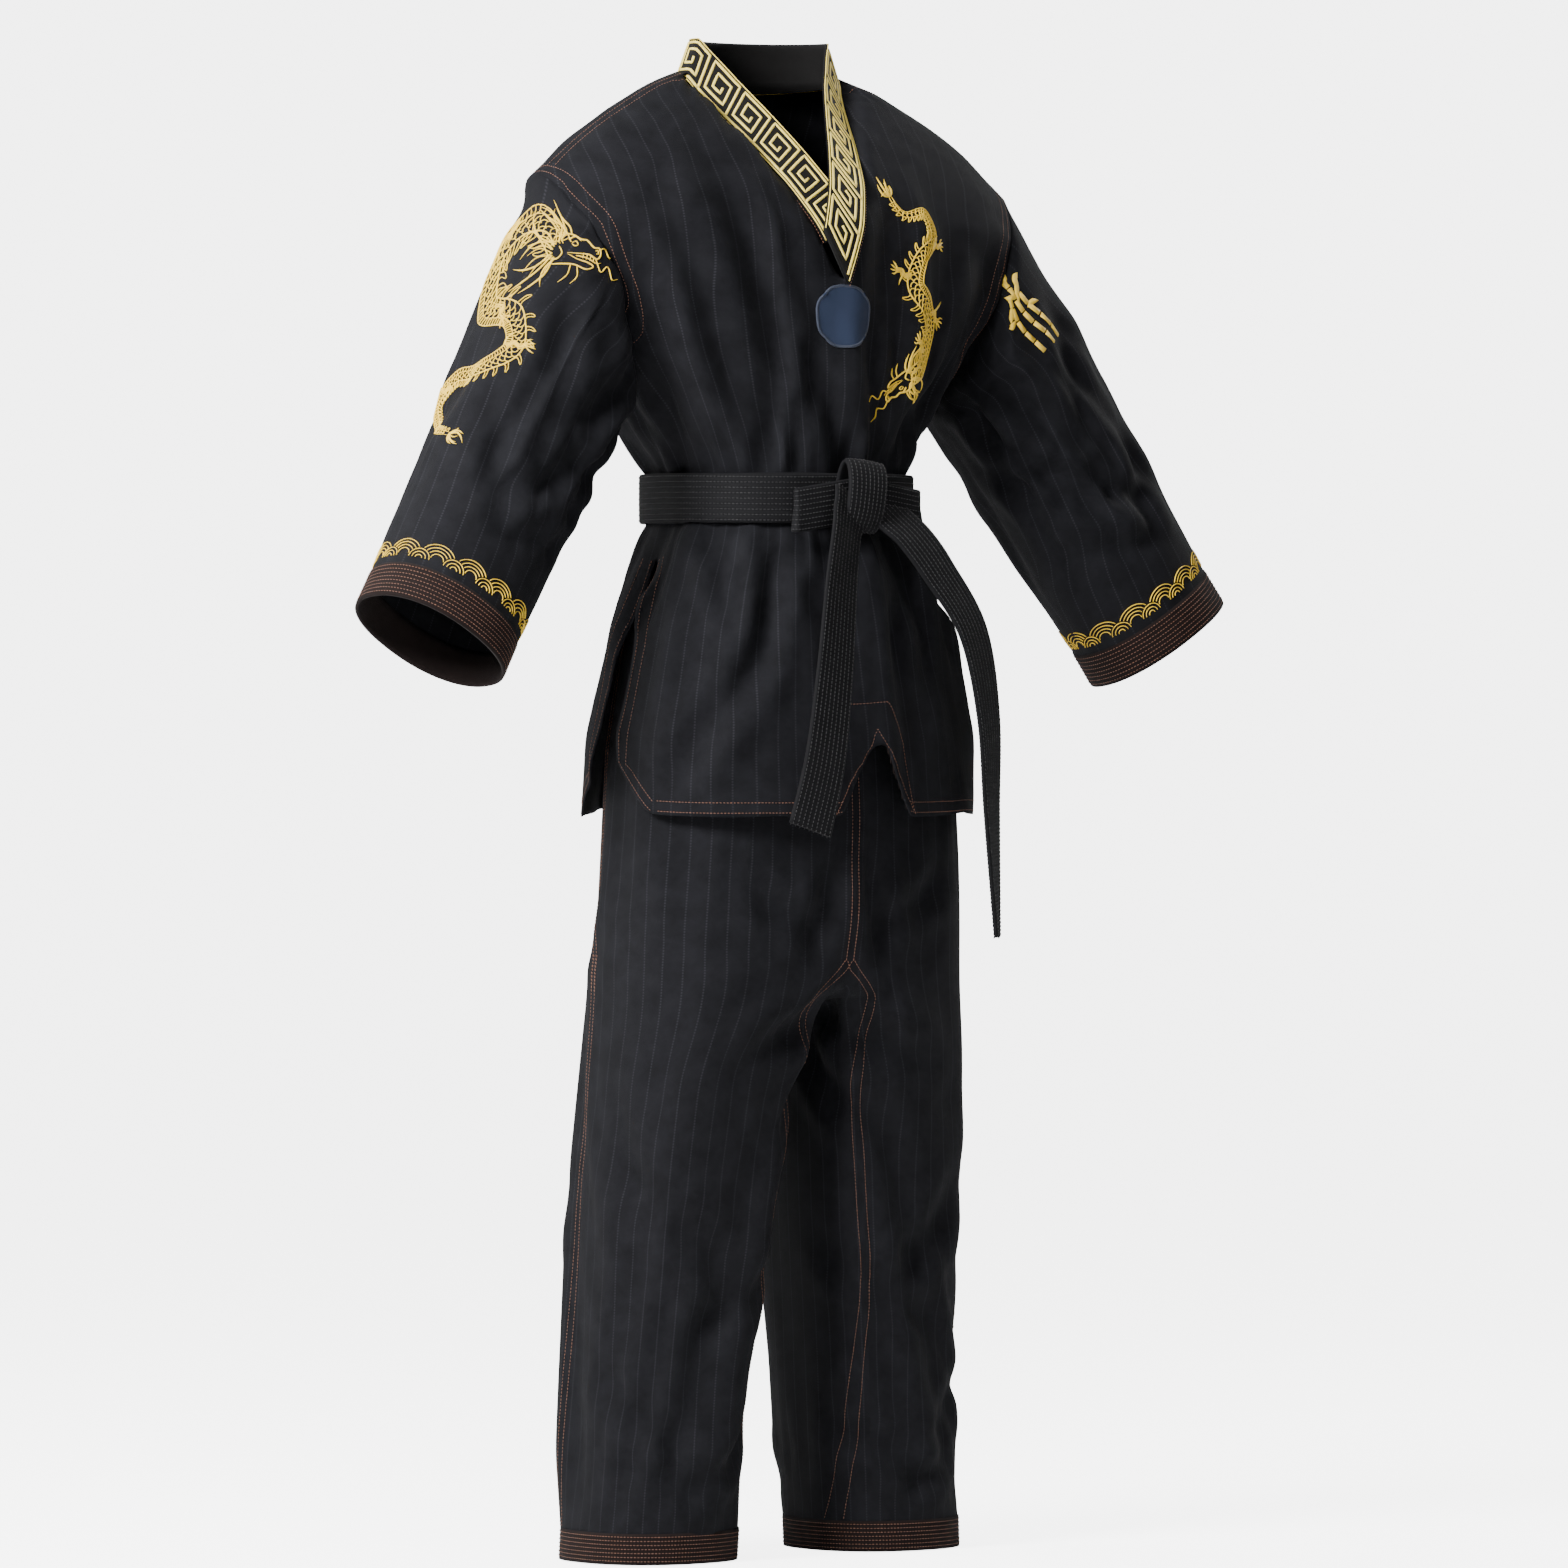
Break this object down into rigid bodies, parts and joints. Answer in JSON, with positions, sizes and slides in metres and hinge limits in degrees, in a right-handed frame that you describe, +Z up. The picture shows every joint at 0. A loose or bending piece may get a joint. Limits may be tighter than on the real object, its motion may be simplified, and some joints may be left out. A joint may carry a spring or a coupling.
{
  "type": "martial arts uniform",
  "caption": "Black V-neck pullover training jacket with gold key-pattern collar and embroidery, matching trousers and a tied belt, hanging as worn.",
  "frame": {"origin": "middle of the wearer's waist, at the height of the belt's centre line", "axes": "+Z up along the wearer's height, the wearer faces -Y, and +X is the wearer's left"},
  "size_m": [0.9664, 0.3209, 1.4011],
  "materials": {
    "pinstripe_cotton": "matt black cotton twill with faint dotted pinstripes",
    "belt_cotton": "black cotton with rows of self-coloured stitching",
    "stitched_cotton": "black cotton with close rows of copper stitching",
    "key_pattern_trim": "black band with a raised pale gold key pattern",
    "gold_embroidery": "satin-stitched gold thread",
    "label_cloth": "plain dark blue cloth patch",
    "elastic_webbing": "off-white ribbed elastic"
  },
  "bodies": {
    "trousers": {"waistband": "pinstripe_cotton", "waist_elastic": "elastic_webbing", "trouser_front_panel": "pinstripe_cotton", "trouser_back_panel": "pinstripe_cotton", "crotch_gusset": "pinstripe_cotton", "right_thigh": "pinstripe_cotton", "left_thigh": "pinstripe_cotton"},
    "right_leg": {"right_leg": "pinstripe_cotton", "right_leg_hem_band": "stitched_cotton"},
    "left_leg": {"left_leg": "pinstripe_cotton", "left_leg_hem_band": "stitched_cotton"},
    "jacket": {"jacket_front_panel": "pinstripe_cotton", "jacket_back_panel": "pinstripe_cotton", "hem_notch_facing": "pinstripe_cotton", "right_lapel_band": "key_pattern_trim", "left_lapel_band": "key_pattern_trim", "back_neck_band": "key_pattern_trim", "chest_label": "label_cloth", "right_sleeve_head": "pinstripe_cotton", "left_sleeve_head": "pinstripe_cotton", "belt_inner_turn": "belt_cotton", "belt_outer_turn": "belt_cotton", "belt_knot": "belt_cotton", "belt_knot_right_wing": "belt_cotton", "belt_knot_left_wing": "belt_cotton"},
    "right_sleeve": {"right_sleeve": "pinstripe_cotton", "right_cuff_band": "stitched_cotton", "right_wave_border": "gold_embroidery"},
    "left_sleeve": {"left_sleeve": "pinstripe_cotton", "left_cuff_band": "stitched_cotton", "left_wave_border": "gold_embroidery"},
    "right_tail": {"belt_right_tail": "belt_cotton"},
    "left_tail": {"belt_left_tail": "belt_cotton"}
  },
  "joints": [
    {"name": "jacket_lift", "type": "slide", "parent": "trousers", "child": "jacket", "axis": [0, 0, 1], "range_m": [0, 0.6]},
    {"name": "right_arm_raise", "type": "hinge", "parent": "jacket", "child": "right_sleeve", "pos_m": [-0.215, 0, 0.262], "axis": [0, 1, 0], "range_deg": [0, 60], "deforming": ["right_sleeve_head"]},
    {"name": "left_arm_raise", "type": "hinge", "parent": "jacket", "child": "left_sleeve", "pos_m": [0.215, 0, 0.262], "axis": [0, -1, 0], "range_deg": [0, 60], "deforming": ["left_sleeve_head"]},
    {"name": "right_leg_swing", "type": "hinge", "parent": "trousers", "child": "right_leg", "pos_m": [-0.1, 0.019, -0.445], "axis": [-1, 0, 0], "range_deg": [-15, 40], "deforming": ["right_thigh"]},
    {"name": "left_leg_swing", "type": "hinge", "parent": "trousers", "child": "left_leg", "pos_m": [0.1, 0.019, -0.445], "axis": [-1, 0, 0], "range_deg": [-15, 40], "deforming": ["left_thigh"]},
    {"name": "right_tail_swing", "type": "hinge", "parent": "jacket", "child": "right_tail", "pos_m": [-0.018, -0.129, -0.027], "axis": [-1, 0, 0], "range_deg": [0, 50]},
    {"name": "left_tail_swing", "type": "hinge", "parent": "jacket", "child": "left_tail", "pos_m": [0.062, -0.128, -0.035], "axis": [-1, 0, 0], "range_deg": [0, 50]}
  ]
}
